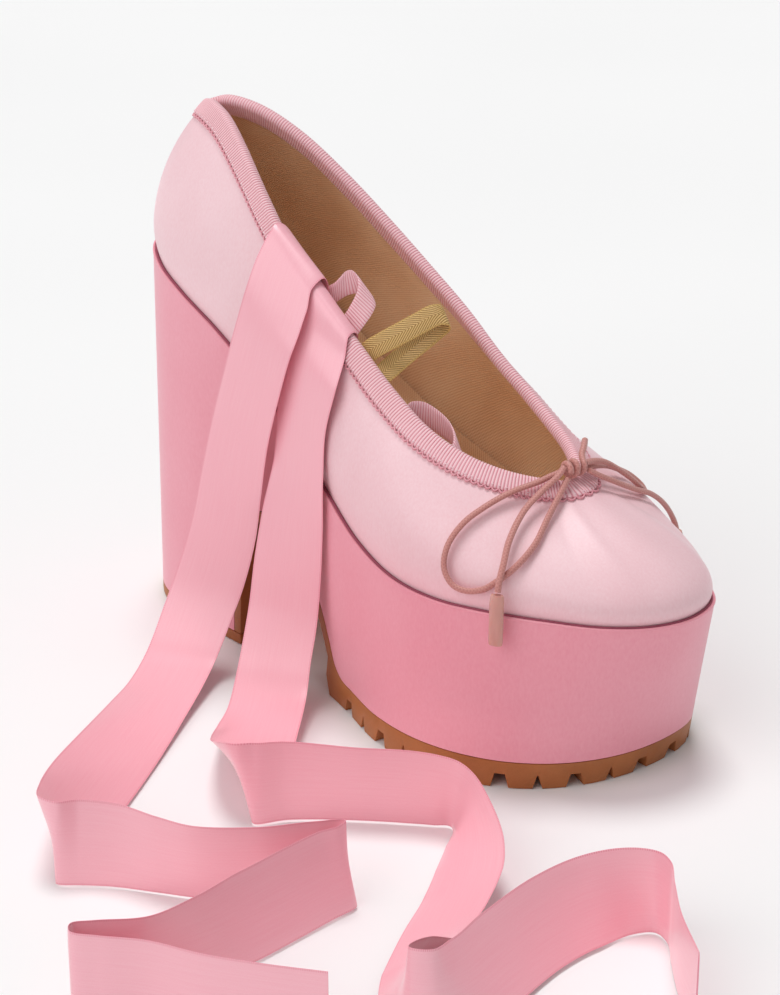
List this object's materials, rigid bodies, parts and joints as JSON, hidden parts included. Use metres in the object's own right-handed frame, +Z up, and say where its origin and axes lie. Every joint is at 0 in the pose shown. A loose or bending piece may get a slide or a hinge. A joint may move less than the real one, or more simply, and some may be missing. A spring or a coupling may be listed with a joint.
{
  "type": "platform ballet flat",
  "caption": "Satin ballet flat on a lugged gum platform with a block heel, a ribbed top edge, a small cord bow and two ribbon ankle ties laid out on the floor",
  "frame": {"origin": "on the floor, below the middle of the shoe's box without its ties", "axes": "+X towards the toe, -Y the shoe's outer side, +Z up"},
  "size_m": [0.32, 0.2512, 0.1741],
  "materials": {
    "gum": "matt gum rubber",
    "satin": "pink satin with a soft sheen",
    "canvas": "tan cotton canvas",
    "ribbing": "ribbed pink tape",
    "elastic": "herringbone elastic in dull gold",
    "cord": "fine rose cord",
    "tube": "soft rose tube, half clear",
    "ribbon": "pink satin ribbon with a strong sheen"
  },
  "bodies": {
    "root": {"outsole": "gum", "top_lift": "gum", "platform_heel": "satin", "insole": "canvas", "upper": "satin", "topline_binding": "ribbing", "back_strip": "satin", "elastic_loop": "elastic", "rear_ribbon_loop": "ribbing", "front_ribbon_loop": "ribbing", "bow_knot": "cord", "bow_loop_outer": "cord", "bow_tail_outer": "cord", "bow_tube_outer": "tube", "bow_loop_inner": "cord", "bow_tail_inner": "cord", "bow_tube_inner": "tube", "ribbon_tail_rear": "ribbon", "ribbon_tail_front": "ribbon"}
  },
  "joints": []
}
